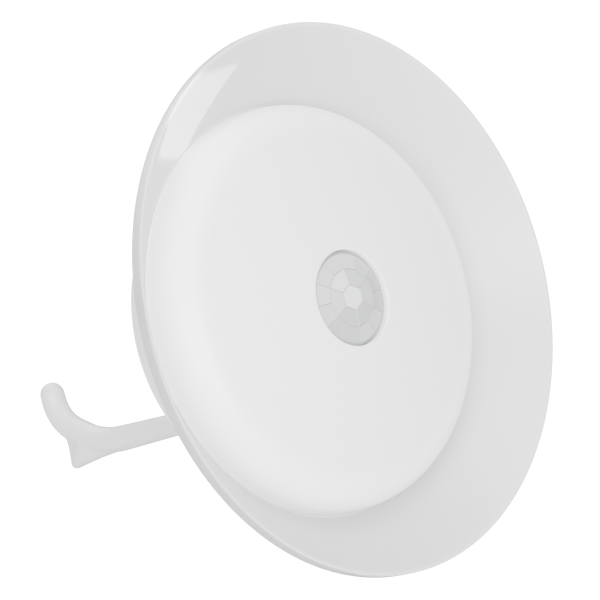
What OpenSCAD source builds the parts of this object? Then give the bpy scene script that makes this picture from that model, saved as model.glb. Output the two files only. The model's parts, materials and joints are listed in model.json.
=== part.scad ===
// Motion sensor night light: a flared diffuser bowl with a pebble-shaped sensor cap.
// It stands on the bottom of its rim and on the foot of a folding hook arm at its back.
// Pieces are drawn in the lamp's own axes: z along the lamp's axis, 0 at the rim, y up along the back.
// They are then leaned back, so that rim and foot touch the table at z = 0.

/* [Bowl] */
// Outer diameter of the rim
rim_d = 120; // [114:1:140]
// Height of the band round the edge of the rim
lip_h = 2.6; // [2:0.1:4]
// Rounding of the outer corners of the rim
lip_round = 0.5; // [0.2:0.1:0.8]
// Width of the rolled edge between the rim and the wall
lip_roll = 1; // [0.8:0.1:3]
// Thickness of the wall and of the foot ring
bowl_wall = 1.6; // [1.2:0.1:2.4]
// Depth of the foot ring behind the rim
bowl_depth = 18.2; // [16:0.1:24]
// How far the wall bows out from a straight cone
bowl_bow = 0.2; // [0.1:0.1:2]
// Gap between the cap's skirt and the wall
light_gap = 0.3; // [0.2:0.1:2]
// Depth of the standing flat at the bottom of the rim
rim_flat = 0.5; // [0.3:0.05:0.8]

/* [Front cap] */
// Largest diameter of the cap
cap_d = 88.8; // [80:0.2:94]
// Radius of the cap's rounded edge
cap_round = 8; // [5:0.5:10]
// Radius of the cap's shallow dome
cap_dome_r = 155; // [120:5:220]
// Straight skirt below the rounded edge
cap_skirt = 3.4; // [1.5:0.1:4.5]
// Thickness of the cap's wall
cap_wall = 1.8; // [1.2:0.1:2.4]
// Slit between the cap's skirt and the board, where the light comes out
light_slit = 0.6; // [0.4:0.1:2.5]

/* [Lens and sensors] */
// Diameter of the lens dome
lens_d = 20.4; // [18:0.2:24]
// Gap round the lens dome in its hole
lens_gap = 0.25; // [0.1:0.05:0.5]
// How far the edge of the lens dome lies behind the cap's face
lens_recess = 1.2; // [0.6:0.1:1.6]
// Rise of the lens dome
lens_rise = 1.3; // [0.8:0.1:3]
// Thickness of the lens
lens_t = 0.7; // [0.5:0.1:1]
// Width of the lens flange behind the cap
lens_flange = 1.8; // [1.2:0.1:2.5]
// Diameter of the motion sensor's can
pir_d = 9.2; // [8:0.1:10]
// Height of the motion sensor's can
pir_h = 4.6; // [4:0.1:5]
// Distance of the can's top behind the cap's face
pir_behind = 6.5; // [5.5:0.1:8]
// Diameter of the light sensor
light_sensor_d = 3; // [2:0.5:3]

/* [Board] */
// Thickness of the main board
board_t = 1.2; // [1:0.1:1.6]
// Gap between the board's edge and the inside of the cap
board_gap = 0.8; // [0.4:0.1:1.2]
// Width of the foot ring that the board clamps
clamp_w = 6; // [4:0.5:8]
// Number of light-emitting diodes at the edge of the board
led_count = 8; // [6:1:12]
// Diameter of the storage capacitors
capacitor_d = 6.3; // [5:0.1:8]
// Height of the storage capacitors
capacitor_h = 7; // [5:0.5:8]
// Distance of the storage capacitors from the axis
capacitor_ring_r = 20.4; // [19:0.1:22]

/* [Batteries] */
// Diameter of a cell
cell_d = 10.5; // [10.5:0.1:11]
// Length of a cell
cell_l = 44.5; // [44:0.1:45]
// Clearance round a cell
cell_gap = 0.3; // [0.2:0.05:0.4]
// Room for a contact spring
spring_room = 3.8; // [3.4:0.1:4.4]
// Room for a contact plate
plate_room = 0.9; // [0.7:0.1:1.2]
// Thickness of the contact plates
plate_t = 0.4; // [0.3:0.05:0.5]
// Wire diameter of the contact springs
spring_wire = 0.7; // [0.6:0.05:0.8]
// Height of the middle of the battery bay above the lamp's axis
bay_y = 6.5; // [6:0.1:7]

/* [Rear housing] */
// Thickness of the housing's walls
housing_wall = 1.8; // [1.5:0.1:2.2]
// Thickness of the walls of the battery bay
bay_wall = 1; // [0.8:0.1:1.2]
// Radius of the back at its edge
back_r = 34.5; // [34:0.1:36]
// Rounding of the edge of the back
back_round = 1.6; // [1:0.1:2]
// How far the side bows out from a straight cone
back_bow = 0.5; // [0.2:0.1:1]
// Distance of the housing screws from the axis
screw_ring_r = 28.5; // [28:0.1:29]
// Diameter of the screws
screw_d = 2.5; // [2:0.1:2.6]
// Thickness of the battery door
door_t = 1.8; // [1.6:0.1:2.2]
// Clearance round the battery door
door_gap = 0.3; // [0.2:0.05:0.4]
// How far the battery door slides before its tabs come free
door_travel = 7.5; // [7:0.1:8]

/* [Switch] */
// How far the knob slides to each side
switch_travel = 2; // [1.5:0.1:2.5]
// Length of the knob
knob_l = 4; // [3:0.1:4.5]
// Height of the knob
knob_w = 2.4; // [2:0.1:3]
// How far the knob stands out of the back
knob_out = 1.6; // [1:0.1:2]
// Distance of the switch below the axis
switch_drop = 26.5; // [26:0.1:27]

/* [Hook arm] */
// Distance of the hinge axis below the lamp's axis
hinge_drop = 16.9; // [16.2:0.1:17.2]
// Distance of the hinge axis behind the back
hinge_off = 4.3; // [4.2:0.1:5]
// Diameter of the hinge pin
pin_d = 2.5; // [2:0.1:3]
// Width of the knuckle
knuckle_w = 6; // [5:0.1:7]
// Radius of the knuckle
knuckle_r = 3.6; // [3:0.1:3.8]
// Thickness of each hinge ear
ear_t = 2.4; // [2:0.1:3]
// Thickness of a hinge washer
washer_t = 0.5; // [0.4:0.05:0.6]
// Length of the straight part of the arm
arm_l = 44.9; // [42:0.1:52]
// Diameter of the arm at the hinge
arm_root_d = 4.4; // [4:0.1:5]
// Diameter of the arm at the hook
arm_end_d = 6; // [4.5:0.1:6.4]
// Radius of the wide first bend
bend_1_r = 26; // [18:0.5:28]
// Angle of the wide first bend
bend_1_angle = 38; // [34:1:46]
// Radius of the tight second bend
bend_2_r = 8.3; // [7.5:0.1:9]
// Diameter of the round tip
tip_d = 5.8; // [4.5:0.1:6.2]
// Straight part below the round tip
tip_l = 1.5; // [1:0.1:3]
// Distance of the foot behind the start of the first bend
foot_back = 17.1; // [13:0.1:18]
// Distance of the foot below the arm
foot_drop = 2.9; // [2.5:0.1:4]
// Radius of the rounded end of the foot
foot_r = 1.5; // [1.2:0.1:2]
// Depth of the standing flat on the foot
foot_flat = 0.4; // [0.2:0.05:0.6]

/* [Hidden] */
$fn = 96;
eps = 0.01;

// Clearances that several pieces share
pin_fit = 0.05;
press_fit = 0.02;
side_gap = 0.15;
stop_gap = 0.3;
thread_fit = 0.02;

// Depths behind the rim, from the front to the back
rim_r = rim_d / 2;
cap_r = cap_d / 2;
board_front = bowl_depth - board_t;
skirt_depth = board_front - light_slit;
cap_edge_depth = skirt_depth - cap_skirt;
seat_depth = bowl_depth + bowl_wall;
bay_floor_depth = seat_depth + bay_wall;
cell_depth = bay_floor_depth + cell_gap + cell_d / 2;
ledge_depth = cell_depth + cell_d / 2 + cell_gap;
back_depth = ledge_depth + door_gap + door_t;

// The cap's dome is a sphere tangent to its rounded edge
cap_dome_depth = cap_edge_depth + sqrt(pow(cap_dome_r - cap_round, 2) - pow(cap_r - cap_round, 2));
cap_turn = asin((cap_r - cap_round) / (cap_dome_r - cap_round));
lens_hole_r = lens_d / 2 + lens_gap;
function cap_face_depth(r) = cap_dome_depth - sqrt(pow(cap_dome_r, 2) - pow(r, 2));
function cap_inside_depth(r) = cap_dome_depth - sqrt(pow(cap_dome_r - cap_wall, 2) - pow(r, 2));
face_depth = cap_face_depth(lens_hole_r);

// The bowl's wall runs from its foot, close past the cap's skirt, to the rolled edge
roll_slope = 0.4;
wall_top = [rim_r - lip_roll, -roll_slope * lip_roll];
wall_pass = [cap_r + light_gap, -skirt_depth];
wall_dir = (wall_top - wall_pass) / norm(wall_top - wall_pass);
wall_foot = wall_pass - wall_dir * (bowl_depth - skirt_depth) / wall_dir.y;
wall_back = wall_foot + bowl_wall * [wall_dir.y, -wall_dir.x];
function wall_outer_r(z) = wall_back.x + (z - wall_back.y) * wall_dir.x / wall_dir.y;
board_r = cap_r - cap_wall - board_gap;
foot_in_r = board_r - clamp_w;
seat_r = wall_outer_r(-seat_depth);
housing_run = housing_wall * sqrt(2);

// Battery bay and door
cell_pitch = cell_d + cell_gap;
bay_l = cell_l + spring_room + plate_room;
bay_h = 3 * cell_pitch + cell_gap;
bay_low = bay_y - bay_h / 2;
ledge_w = 1.9;
door_half = bay_l / 2 + ledge_w;
door_low = bay_low - ledge_w;
tab_w = 1.1;
tab_t = 0.9;
tab_l = 4.4;
tab_pitch = 13;
tab_first = door_low + tab_l / 2 + ledge_w;

// Screws, posts and capacitors
post_r = 3.2;
screw_head_r = 2.3;
screw_head_h = 1.6;
screw_l = 10;
screw_bite = 6;
screw_angles = [90, 215, 325];
board_screw_angles = [30, 150];
board_screw_r = 31;
board_screw_d = 2;
board_screw_bite = 4;
board_head_r = 1.8;
board_head_h = 1.2;
screw_tip_gap = 0.2;
head_gap = 0.3;
capacitor_angles = [12, -20];

// Lens stack behind the cap
flange_r = lens_d / 2 + lens_flange;
flange_front = cap_inside_depth(flange_r + lens_gap);
flange_t = 1;
collar_wall = 1.4;
retainer_t = 1.2;
retainer_w = 2;
dome_edge_depth = face_depth + lens_recess;
lens_sphere_r = (pow(lens_d / 2, 2) + pow(lens_rise, 2)) / (2 * lens_rise);

// Motion sensor stack on the board
pir_top = face_depth + pir_behind;
pir_base = pir_top + pir_h;
pir_flange_t = 0.8;
pir_flange_w = 0.5;
collar_w = 2;
collar_r = pir_d / 2 + collar_w;
light_sensor_y = collar_r + light_sensor_d / 2;

// Switch at the back
switch_end = 1;
switch_l = knob_l + 2 * (switch_travel + switch_end);
switch_w = 4.6;
switch_h = 4.8;
knob_gap = 0.3;
wall_inside = back_depth - housing_wall;

// Hook arm, drawn in its side plane: x back from the rim, y up
hinge_x = back_depth + hinge_off;
arm_y = -hinge_drop;
bend_x = hinge_x + arm_l;
arm_end_r = arm_end_d / 2;
tip_r = tip_d / 2;
bend_2_angle = 90 - bend_1_angle;
bend_1_end = [bend_x + bend_1_r * sin(bend_1_angle), arm_y + bend_1_r * (1 - cos(bend_1_angle))];
bend_2_centre = bend_1_end + bend_2_r * [-sin(bend_1_angle), cos(bend_1_angle)];
tip = bend_2_centre + [bend_2_r, tip_l];
foot = [bend_x + foot_back, arm_y - foot_drop];
ear_margin = 0.4;
ear_r = knuckle_r + ear_margin;
ear_x = knuckle_w / 2 + washer_t + 2 * side_gap;
pin_l = 2 * (ear_x + ear_t);
pin_inset = 0.2;

// Lean of the lamp: the rim's lower corner and the end of the foot reach the same table
lean_a = foot.x - lip_h + lip_round;
lean_b = rim_r - lip_round + foot.y;
lean_c = lip_round - foot_r + foot_flat - rim_flat;
lean = atan2(lean_b, lean_a) + asin(lean_c / norm([lean_a, lean_b]));
rise = (rim_r - lip_round) * cos(lean) + (lip_h - lip_round) * sin(lean) + lip_round - rim_flat;
front_y = lip_round * cos(lean) - (rim_r - lip_round) * sin(lean) - lip_round;
back_y = tip.x * cos(lean) + tip.y * sin(lean) + tip_r;
mid_y = (front_y + back_y) / 2;

// Shared shapes
module stand() {
  translate([0, -mid_y, rise])
    rotate([90 - lean, 0, 0])
      children();
}

module side_plane() {
  rotate([0, 90, 0])
    children();
}

module table() {
  translate([-rim_d, -2 * rim_d, -rim_d])
    cube([2 * rim_d, 4 * rim_d, rim_d]);
}

module box(low, high) {
  translate(low)
    cube(high - low);
}

// A straight-sided pin from one depth to a shallower one, at a place on the lamp
module post(place, r, deep, shallow) {
  translate([place.x, place.y, -deep])
    cylinder(h = deep - shallow, r = r);
}

function on_ring(r, angle) = r * [cos(angle), sin(angle)];
function arc(c, r, a0, a1, n = 10) =
  [for (i = [0:n]) let (a = a0 + (a1 - a0) * i / n) c + r * [cos(a), sin(a)]];
// Points of a shallow arc from p to q that bows to the left by sag
function bowed(p, q, sag, n = 12) =
  let (
    u = (q - p) / norm(q - p),
    left = [-u.y, u.x],
    r = (pow(norm(q - p) / 2, 2) + sag * sag) / (2 * sag),
    c = (p + q) / 2 + left * (sag - r),
    half = asin(norm(q - p) / 2 / r)
  )
  [for (i = [0:n]) let (t = half * (2 * i / n - 1)) c + r * (left * cos(t) + u * sin(t))];

// Faces of a closed tube of n steps with m points in each ring
function tube_faces(n, m) = concat(
  [for (i = [0:n - 1]) for (j = [0:m - 1]) [i * m + j, (i + 1) * m + (j + 1) % m, (i + 1) * m + j]],
  [for (i = [0:n - 1]) for (j = [0:m - 1]) [i * m + j, i * m + (j + 1) % m, (i + 1) * m + (j + 1) % m]],
  [for (j = [1:m - 2]) [0, j + 1, j]],
  [for (j = [1:m - 2]) [n * m, n * m + j, n * m + j + 1]]
);

// Translucent bowl with its rolled rim and its foot ring
module diffuser_bowl() {
  roll_sag = 0.07 * lip_roll;
  lip_back_r = min(wall_outer_r(-lip_h), rim_r - lip_round);
  color("#e6e8e8")
    difference() {
      stand()
        rotate_extrude($fn = 180)
          polygon(concat(
            [[foot_in_r, -bowl_depth]],
            bowed(wall_foot, wall_top, -bowl_bow),
            bowed(wall_top, [rim_r - lip_round, 0], roll_sag, 6),
            arc([rim_r - lip_round, -lip_round], lip_round, 90, 0, 5),
            arc([rim_r - lip_round, lip_round - lip_h], lip_round, 0, -90, 5),
            bowed([lip_back_r, -lip_h], [seat_r, -seat_depth], bowl_bow),
            [[foot_in_r, -seat_depth]]
          ));
      table();
    }
}

// Section of the cap between its hole and its skirt, as a closed outline
function cap_section(hole_r) =
  let (
    centre = [cap_r - cap_round, -cap_edge_depth],
    dome = [0, -cap_dome_depth],
    inner_r = cap_dome_r - cap_wall
  )
  concat(
    arc(dome, cap_dome_r, 90 - asin(hole_r / cap_dome_r), 90 - cap_turn, 16),
    arc(centre, cap_round, 90 - cap_turn, 0, 16),
    [[cap_r, -skirt_depth], [cap_r - cap_wall, -skirt_depth]],
    arc(centre, cap_round - cap_wall, 0, 90 - cap_turn, 16),
    arc(dome, inner_r, 90 - cap_turn, 90 - asin(hole_r / inner_r), 16)
  );

// White cap with the lens hole, the lens collar and the posts that stand on the board
module front_cap() {
  post_top = cap_inside_depth(screw_ring_r) - cap_wall / 2;
  board_post_top = cap_inside_depth(board_screw_r) - cap_wall / 2;
  collar_in = flange_r + lens_gap;
  collar_end = flange_front + flange_t + retainer_t;
  color("#f2f3f3")
    stand()
      difference() {
        union() {
          rotate_extrude($fn = 180)
            polygon(cap_section(lens_hole_r));
          difference() {
            post([0, 0], collar_in + collar_wall, collar_end, flange_front - cap_wall / 2);
            post([0, 0], collar_in, collar_end + eps, flange_front - cap_wall);
          }
          for (a = screw_angles)
            post(on_ring(screw_ring_r, a), post_r, board_front, post_top);
          for (a = board_screw_angles)
            post(on_ring(board_screw_r, a), post_r, board_front, board_post_top);
        }
        for (a = screw_angles)
          post(on_ring(screw_ring_r, a), screw_d / 2 + thread_fit, board_front + eps,
            board_front - screw_bite);
        for (a = board_screw_angles)
          post(on_ring(board_screw_r, a), board_screw_d / 2 + thread_fit, board_front + eps,
            board_front - board_screw_bite);
      }
}

// Dome lens with its flange behind the cap
module pir_lens() {
  sphere_z = lens_rise - lens_sphere_r - dome_edge_depth;
  edge_angle = asin(lens_d / 2 / lens_sphere_r);
  inner_angle = asin((lens_d / 2 - lens_t) / (lens_sphere_r - lens_t));
  flange_back = flange_front + flange_t;
  color("#dfe1e1")
    stand()
      rotate_extrude()
        polygon(concat(
          arc([0, sphere_z], lens_sphere_r, 90, 90 - edge_angle, 14),
          [[lens_d / 2, -flange_front], [flange_r, -flange_front], [flange_r, -flange_back],
            [lens_d / 2 - lens_t, -flange_back]],
          arc([0, sphere_z], lens_sphere_r - lens_t, 90 - inner_angle, 90, 14)
        ));
}

// Ring pressed into the collar behind the lens flange
module lens_retainer() {
  front = flange_front + flange_t;
  outer = flange_r + lens_gap - press_fit;
  color("#d8d8d8")
    stand()
      difference() {
        post([0, 0], outer, front + retainer_t, front);
        post([0, 0], outer - retainer_w, front + retainer_t + eps, front - eps);
      }
}

// Motion sensor can with its window and base flange
module pir_sensor() {
  window = 4;
  window_t = 0.2;
  color("#9c9ea0")
    stand()
      difference() {
        union() {
          post([0, 0], pir_d / 2, pir_base, pir_top);
          post([0, 0], pir_d / 2 + pir_flange_w, pir_base, pir_base - pir_flange_t);
        }
        box([-window / 2, -window / 2, -pir_top - window_t], [window / 2, window / 2, window_t - pir_top]);
      }
}

// Plastic stand that carries the motion sensor and the light sensor
module sensor_collar() {
  boss_wall = 0.9;
  seat_w = 1;
  boss_r = light_sensor_d / 2 + boss_wall;
  color("#3a3a3c")
    stand()
      difference() {
        union() {
          post([0, 0], collar_r, board_front, pir_base);
          post([0, light_sensor_y], boss_r, board_front, pir_base);
        }
        post([0, 0], pir_d / 2 - seat_w, board_front + eps, pir_base - eps);
      }
}

// Round-topped light sensor beside the motion sensor
module light_sensor() {
  r = light_sensor_d / 2;
  straight = 2.5;
  color("#cfd4da")
    stand()
      translate([0, light_sensor_y, -pir_base]) {
        cylinder(h = straight, r = r);
        translate([0, 0, straight])
          intersection() {
            sphere(r = r);
            cylinder(h = r, r = r);
          }
      }
}

// Round circuit board, clamped between the cap's posts and the housing's posts
module main_board() {
  color("#e9e9e2")
    stand()
      difference() {
        post([0, 0], board_r, bowl_depth, board_front);
        for (a = screw_angles)
          post(on_ring(screw_ring_r, a), screw_d / 2 + thread_fit, bowl_depth + eps, board_front - eps);
        for (a = board_screw_angles)
          post(on_ring(board_screw_r, a), board_screw_d / 2 + thread_fit, bowl_depth + eps,
            board_front - eps);
      }
}

// Edge-firing diodes round the board
module leds() {
  size = [1.4, 3, 1];
  inset = 0.3;
  color("#f3e9b8")
    stand()
      for (i = [0:led_count - 1])
        rotate(360 * (i + 0.5) / led_count)
          translate([board_r - size.x - inset, -size.y / 2, -board_front])
            cube(size);
}

// One small resistor inside each diode
module led_resistors() {
  size = [2, 1.2, 0.5];
  inset = 6;
  color("#2b2b2d")
    stand()
      for (i = [0:led_count - 1])
        rotate(360 * (i + 0.5) / led_count)
          translate([board_r - inset, -size.y / 2, -board_front])
            cube(size);
}

// Control chip with its two rows of legs
module control_chip() {
  place = [-20, -6];
  size = [4, 10, 1.5];
  leg = [1, 0.4, 0.3];
  leg_count = 8;
  pitch = 1.2;
  color("#26262a")
    stand()
      translate([place.x, place.y, -board_front]) {
        translate([-size.x / 2, -size.y / 2, 0])
          cube(size);
        for (i = [0:leg_count - 1])
          translate([-size.x / 2 - leg.x, (i - (leg_count - 1) / 2) * pitch - leg.y / 2, 0])
            cube([size.x + 2 * leg.x, leg.y, leg.z]);
      }
}

// Upright storage capacitors
module capacitors() {
  color("#4b5a70")
    stand()
      for (a = capacitor_angles)
        post(on_ring(capacitor_ring_r, a), capacitor_d / 2, board_front, board_front - capacitor_h);
}

// Round-headed screw: its head lies behind the given depth and its shank reaches forward from there
module screw(place, head_depth, r, length, head_r, head_h) {
  slot = 0.6;
  slot_margin = 0.5;
  post(place, r, head_depth, head_depth - length);
  difference() {
    post(place, head_r, head_depth + head_h, head_depth);
    for (a = [0, 90])
      translate([place.x, place.y, -head_depth - head_h])
        rotate(a)
          cube([2 * (head_r - slot_margin), slot, slot * 2], center = true);
  }
}

// Screws that hold the board to the cap
module board_screws() {
  color("#b9bcc0")
    stand()
      for (a = board_screw_angles)
        screw(on_ring(board_screw_r, a), bowl_depth, board_screw_d / 2,
          board_t + board_screw_bite - screw_tip_gap, board_head_r, board_head_h);
}

// Screws from the back that clamp housing, bowl, board and cap
screw_head_depth = board_front - screw_bite + screw_tip_gap + screw_l;
module housing_screws() {
  color("#b9bcc0")
    stand()
      for (a = screw_angles)
        screw(on_ring(screw_ring_r, a), screw_head_depth, screw_d / 2, screw_l, screw_head_r, screw_head_h);
}

// Outside of the rear housing, as a solid
module housing_body() {
  rotate_extrude($fn = 180)
    polygon(concat(
      [[0, -seat_depth]],
      bowed([seat_r, -seat_depth], [back_r, back_round - back_depth], back_bow),
      arc([back_r - back_round, back_round - back_depth], back_round, 0, -90, 6),
      [[0, -back_depth]]
    ));
}

// Hollow of the rear housing
module housing_hollow() {
  inner = back_r - housing_run;
  rotate_extrude($fn = 180)
    polygon(concat(
      [[0, eps - seat_depth], [seat_r - housing_run, eps - seat_depth]],
      bowed([seat_r - housing_run, -seat_depth], [inner, -wall_inside], back_bow),
      [[0, -wall_inside]]
    ));
}

// Space over the battery bay that the sliding door takes, with the slots for its tabs
module door_space() {
  far = 2 * back_r;
  box([-door_half, door_low, -back_depth - door_t], [door_half, far, -ledge_depth]);
  slot = door_half + tab_w;
  slot_back = ledge_depth + 2 * door_gap + tab_t;
  for (i = [0:1]) {
    low = tab_first + i * tab_pitch - tab_l / 2 - door_gap;
    high = low + tab_l + door_travel + 2 * door_gap;
    box([-slot, low, -slot_back], [slot, high, -ledge_depth]);
    box([-slot, high - tab_l - 2 * door_gap, -back_depth - door_t], [slot, high, -ledge_depth]);
  }
}

// Hinge ears on the back
module hinge_ears() {
  side_plane()
    for (s = [-1, 1])
      translate([0, 0, s * (ear_x + ear_t / 2)])
        linear_extrude(height = ear_t, center = true) {
          translate([hinge_x, arm_y])
            circle(r = ear_r);
          translate([back_depth - housing_wall / 2, arm_y - ear_r])
            square([hinge_off + housing_wall / 2, 2 * ear_r]);
        }
}

// Back shell with the battery bay, the screw posts and the hinge ears
module rear_housing() {
  bay = [bay_l / 2, bay_h];
  head_bore = screw_head_r + head_gap;
  slot = [knob_l / 2 + switch_travel + knob_gap, knob_w / 2 + knob_gap];
  color("#eceded")
    stand()
      difference() {
        union() {
          difference() {
            housing_body();
            housing_hollow();
          }
          intersection() {
            housing_body();
            box([-bay.x - bay_wall, bay_low - bay_wall, -back_depth],
              [bay.x + bay_wall, bay_low + bay.y + bay_wall, -seat_depth]);
          }
          intersection() {
            housing_body();
            box([-2 * back_r, door_low - bay_wall, -ledge_depth - bay_wall],
              [2 * back_r, 2 * back_r, bay_wall - ledge_depth]);
          }
          for (a = screw_angles)
            post(on_ring(screw_ring_r, a), post_r, wall_inside, bowl_depth);
          hinge_ears();
        }
        box([-bay.x, bay_low, -back_depth], [bay.x, bay_low + bay.y, -bay_floor_depth]);
        door_space();
        for (a = screw_angles) {
          post(on_ring(screw_ring_r, a), screw_d / 2 + thread_fit, back_depth + eps, bowl_depth - eps);
          post(on_ring(screw_ring_r, a), head_bore, back_depth + eps, screw_head_depth);
        }
        box([-slot.x, -switch_drop - slot.y, -back_depth - eps],
          [slot.x, slot.y - switch_drop, eps - wall_inside]);
        for (x = contact_tabs)
          box([x - tab_slot / 2, bay_low + tab_in - tab_slot / 2, -bay_floor_depth - eps],
            [x + tab_slot / 2, bay_low + tab_in + tab_slot / 2, eps - seat_depth]);
        side_plane()
          translate([hinge_x, arm_y])
            cylinder(h = 2 * pin_l, r = pin_d / 2 + press_fit, center = true);
      }
}

// Sliding battery door: a slice of the back with tabs at its sides and grip grooves near its lower edge
module battery_door() {
  half = door_half - door_gap;
  low = door_low + door_gap;
  inner = ledge_depth + door_gap;
  grip_r = 0.5;
  grip_l = 14;
  grip_pitch = 2;
  grip_count = 4;
  grip_low = 3;
  color("#eceded")
    stand()
      difference() {
        union() {
          intersection() {
            housing_body();
            box([-half, low, -back_depth], [half, 2 * back_r, -inner]);
          }
          for (i = [0:1])
            translate([0, tab_first + i * tab_pitch, -inner - tab_t / 2])
              cube([2 * (half + tab_w), tab_l, tab_t], center = true);
        }
        for (i = [0:grip_count - 1])
          translate([0, low + grip_low + i * grip_pitch, -back_depth])
            rotate([0, 90, 0])
              cylinder(h = grip_l, r = grip_r, center = true, $fn = 24);
      }
}

// One cell along x; turn is 1 with its button to the right and -1 to the left
cell_y = [for (i = [-1:1]) bay_y + i * cell_pitch];
cell_turn = [1, -1, 1];
button_h = 1;
function cell_x(i) = cell_turn[i] * (spring_room - plate_room) / 2;
module cell(i) {
  button_r = 2.7;
  edge = 0.5;
  r = cell_d / 2;
  body_l = cell_l - button_h;
  color("#5f7f8f")
    stand()
      translate([cell_x(i), cell_y[i], -cell_depth])
        rotate([0, 90 * cell_turn[i], 0])
          rotate_extrude()
            polygon(concat(
              [[0, -cell_l / 2]],
              arc([r - edge, edge - cell_l / 2], edge, -90, 0, 4),
              arc([r - edge, body_l - cell_l / 2 - edge], edge, 0, 90, 4),
              [[button_r, body_l - cell_l / 2], [button_r, cell_l / 2], [0, cell_l / 2]]
            ));
}

module battery_1() {
  cell(0);
}

module battery_2() {
  cell(1);
}

module battery_3() {
  cell(2);
}

// Conical battery springs, each an unbroken wire wound between the bay's end and a cell
spring_turns = 2.5;
spring_wide = 3.2;
spring_narrow = 1.8;
spring_sides = 6;
spring_steps = 8 * spring_turns;
spring_h = spring_room - plate_t - spring_wire;
function spring_at(i) =
  let (t = i / spring_steps, a = 360 * spring_turns * t, r = spring_wide + (spring_narrow - spring_wide) * t)
  [r * cos(a), r * sin(a), spring_wire / 2 + spring_h * t];
function spring_out(i) = let (a = 360 * spring_turns * i / spring_steps) [cos(a), sin(a), 0];
spring_gap = min([
  for (i = [0:spring_steps]) for (j = [i + 6:1:spring_steps]) norm(spring_at(i) - spring_at(j))
]) - spring_wire;
echo(least_gap_between_spring_turns = spring_gap);
module spring() {
  m = spring_sides;
  points = [
    for (i = [0:spring_steps]) for (j = [0:m - 1])
      spring_at(i) + spring_wire / 2 * (spring_out(i) * cos(360 * j / m) + [0, 0, sin(360 * j / m)])
  ];
  polyhedron(points, tube_faces(spring_steps, m));
}

module contact_springs() {
  color("#b9bcc0")
    stand()
      for (i = [0:2])
        translate([-cell_turn[i] * (bay_l / 2 - plate_t), cell_y[i], -cell_depth])
          rotate([0, 90 * cell_turn[i], 0])
            spring();
}

// Sheet metal contacts at both ends of the bay, with a solder tab to the board at two corners
tab_slot = 1.6;
tab_in = 1.2;
contact_tabs = [-bay_l / 2 + plate_t / 2, bay_l / 2 - plate_t / 2];
module contact_plates() {
  size = 8;
  dimple = 2;
  tab_half = 0.5;
  tab_low = bay_low + tab_in - tab_half;
  bridge_t = 1;
  color("#c9b27a")
    stand() {
      for (s = [-1, 1])
        for (y = cell_y)
          translate([s * (bay_l / 2 - plate_t / 2), y, -cell_depth])
            cube([plate_t, size, size], center = true);
      for (i = [0:2])
        translate([cell_turn[i] * (bay_l / 2 - plate_t - (plate_room - plate_t) / 2), cell_y[i], -cell_depth])
          cube([plate_room - plate_t, dimple, dimple], center = true);
      for (x = contact_tabs) {
        box([x - plate_t / 2, tab_low, -cell_depth], [x + plate_t / 2, tab_low + 2 * tab_half, -bowl_depth]);
        box([x - plate_t / 2, tab_low, -cell_depth], [x + plate_t / 2, cell_y[0], bridge_t - cell_depth]);
      }
    }
}

// Slide switch behind the back wall
module switch_body() {
  slot = [knob_l / 2 + switch_travel + knob_gap, knob_w / 2 + knob_gap];
  depth = 2.4;
  color("#3c3d40")
    stand()
      translate([0, -switch_drop, 0])
        difference() {
          box([-switch_l / 2, -switch_w / 2, -wall_inside],
            [switch_l / 2, switch_w / 2, switch_h - wall_inside]);
          box([-slot.x, -slot.y, -wall_inside - eps], [slot.x, slot.y, depth - wall_inside]);
        }
}

// Wires from the switch straight to the board
module switch_wires() {
  pitch = 2.5;
  wire_r = 0.5;
  color("#b84a3c")
    stand()
      for (i = [-1:1])
        post([i * pitch, -switch_drop], wire_r, wall_inside - switch_h, bowl_depth);
}

// Knob of the switch, with three grip ribs
module switch_knob() {
  root = 1.8;
  rib = 0.3;
  rib_pitch = 1.1;
  color("#e2e3e3")
    stand()
      translate([0, -switch_drop, 0])
        difference() {
          box([-knob_l / 2, -knob_w / 2, -back_depth - knob_out],
            [knob_l / 2, knob_w / 2, root - wall_inside]);
          for (i = [-1:1])
            translate([i * rib_pitch, 0, -back_depth - knob_out])
              rotate([90, 0, 0])
                cylinder(h = 2 * knob_w, r = rib, center = true, $fn = 24);
        }
}

// Middle line of the bar: place, direction and radius of each ring, from the hinge to the round tip
bend_steps = 10;
tip_steps = 8;
arm_rings = concat(
  [[hinge_x, arm_y, 0, arm_root_d / 2], [bend_x, arm_y, 0, arm_end_r]],
  [for (i = [1:bend_steps]) let (a = bend_1_angle * i / bend_steps)
    [bend_x + bend_1_r * sin(a), arm_y + bend_1_r * (1 - cos(a)), a, arm_end_r]],
  [for (i = [1:bend_steps]) let (a = bend_1_angle + bend_2_angle * i / bend_steps)
    [bend_2_centre.x + bend_2_r * sin(a), bend_2_centre.y - bend_2_r * cos(a), a,
      arm_end_r + (tip_r - arm_end_r) * i / bend_steps]],
  [for (i = [0:tip_steps - 1]) let (a = 90 * i / tip_steps)
    [tip.x, tip.y + tip_r * sin(a), 90, tip_r * cos(a)]]
);
module arm_bar() {
  m = 32;
  points = [
    for (k = arm_rings) for (j = [0:m - 1])
      let (b = 360 * j / m)
      [k[0] - k[3] * cos(b) * sin(k[2]), k[1] + k[3] * cos(b) * cos(k[2]), -k[3] * sin(b)]
  ];
  polyhedron(points, tube_faces(len(arm_rings) - 1, m));
}

// Round bar along z that ends in a half ball
module round_ended(r1, r2, length) {
  rotate_extrude($fn = 48)
    polygon(concat([[0, 0], [r1, 0]], arc([0, length], r2, 0, 90, 8)));
}

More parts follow.
